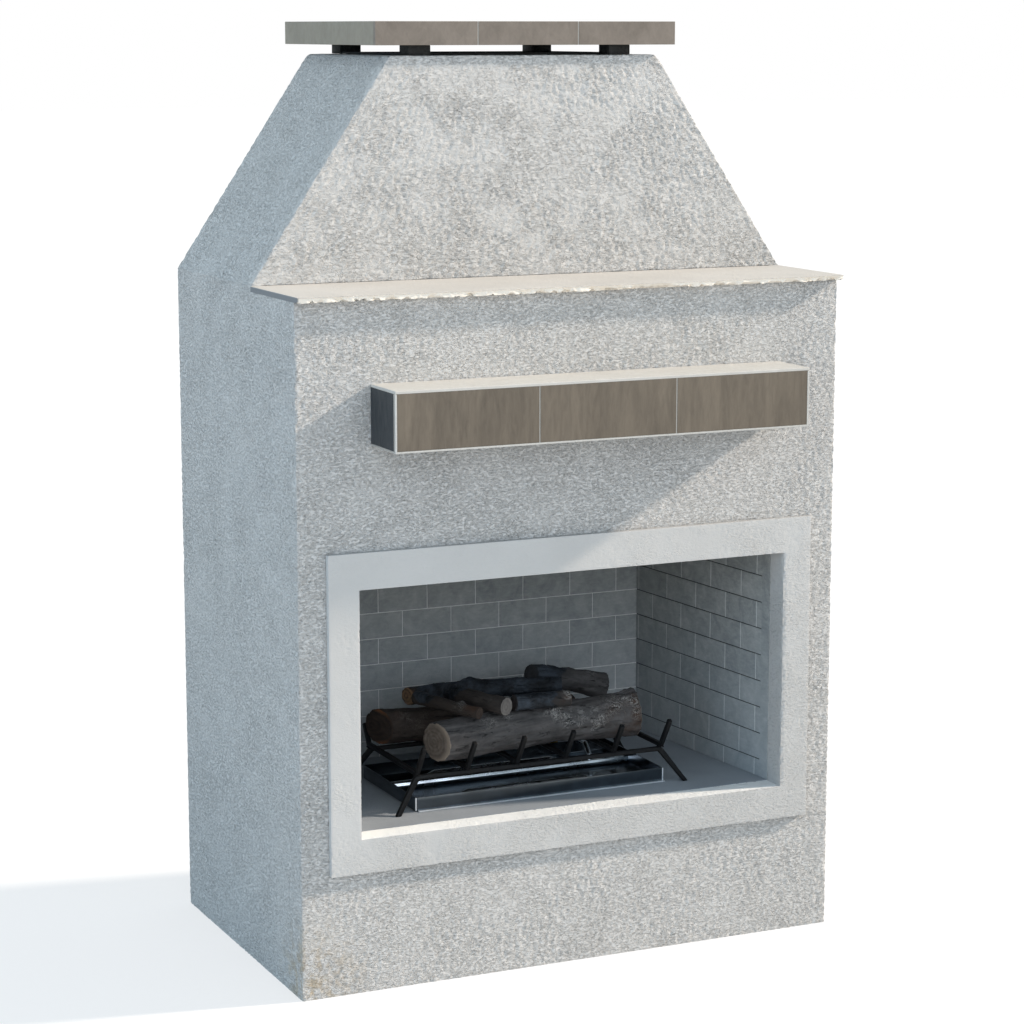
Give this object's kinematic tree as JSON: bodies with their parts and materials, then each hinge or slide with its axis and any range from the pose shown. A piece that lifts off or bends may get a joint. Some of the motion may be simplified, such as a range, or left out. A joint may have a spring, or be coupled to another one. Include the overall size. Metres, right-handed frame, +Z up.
{
  "type": "outdoor fireplace",
  "caption": "Free-standing outdoor gas fireplace: stuccoed body with a hipped hood and flat chimney cap, tiled mantel shelf, brick firebox and a log set on a grate.",
  "frame": {"origin": "centre of the body's underside, on the ground", "axes": "+Z up, the opening faces -Y, +X to the right as seen from the front"},
  "size_m": [1.219, 0.8825, 1.9455],
  "materials": {
    "stucco": "matt, coarse sprayed stucco in pale grey",
    "smooth_stucco": "matt, finely textured smooth stucco in pale grey",
    "cream_stucco": "matt, trowelled smooth in cream",
    "cement_board": "matt grey cement board",
    "frame_steel": "galvanised sheet steel",
    "hearth": "matt grey cast slab",
    "firebrick": "matt grey pressed firebrick panel",
    "flue_black": "matt black heat-proof paint",
    "brown_tile": "satin clouded brown-grey porcelain",
    "cream_tile": "satin cream porcelain",
    "pan_steel": "dark glossy sheet steel",
    "black_pipe": "black iron pipe",
    "brass": "dull brass",
    "grate_iron": "matt black iron",
    "bark": "matt grey-brown bark, cast refractory ceramic",
    "charred_log": "matt charred black, cast refractory ceramic"
  },
  "bodies": {
    "fireplace": {"base_panel": "cement_board", "front_left_stud": "frame_steel", "front_right_stud": "frame_steel", "rear_left_stud": "frame_steel", "rear_right_stud": "frame_steel", "opening_header": "frame_steel", "hearth_platform": "frame_steel", "front_board": "stucco", "back_board": "stucco", "left_board": "stucco", "right_board": "stucco", "ledge_slab": "cream_stucco", "hood_front_board": "stucco", "hood_left_board": "stucco", "hood_right_board": "stucco", "hood_top_board": "stucco", "opening_surround": "smooth_stucco", "hearth_slab": "hearth", "firebox_back_panel": "firebrick", "firebox_left_panel": "firebrick", "firebox_right_panel": "firebrick", "smoke_dome": "frame_steel", "flue_duct": "flue_black", "mantel_core": "cement_board", "mantel_left_tile": "brown_tile", "mantel_middle_tile": "brown_tile", "mantel_right_tile": "brown_tile", "mantel_left_end_tile": "brown_tile", "mantel_right_end_tile": "brown_tile", "mantel_top_tile": "cream_tile", "cap_core": "cement_board", "cap_left_tile": "brown_tile", "cap_middle_tile": "brown_tile", "cap_right_tile": "brown_tile", "cap_left_end_tile": "brown_tile", "cap_right_end_tile": "brown_tile", "cap_post_front_left": "flue_black", "cap_post_front_right": "flue_black", "cap_post_rear_left": "flue_black", "cap_post_rear_right": "flue_black", "burner_pan": "pan_steel", "burner_tube": "pan_steel", "gas_riser": "black_pipe", "gas_valve": "brass", "grate_bar_1": "grate_iron", "grate_bar_2": "grate_iron", "grate_bar_3": "grate_iron", "grate_bar_4": "grate_iron", "grate_bar_5": "grate_iron", "grate_bar_6": "grate_iron", "grate_front_rail": "grate_iron", "grate_rear_rail": "grate_iron", "front_log": "bark", "rear_log": "bark", "left_cross_twig": "bark", "middle_cross_log": "charred_log", "short_top_log": "charred_log", "charred_branch": "charred_log", "right_top_log": "charred_log"},
    "valve_lever": {"gas_valve_lever": "brass"}
  },
  "joints": [
    {"name": "gas_valve_turn", "type": "hinge", "parent": "fireplace", "child": "valve_lever", "pos_m": [0.1779, 0.1305, 0.3983], "axis": [0, 0, -1], "range_deg": [0, 90]}
  ]
}
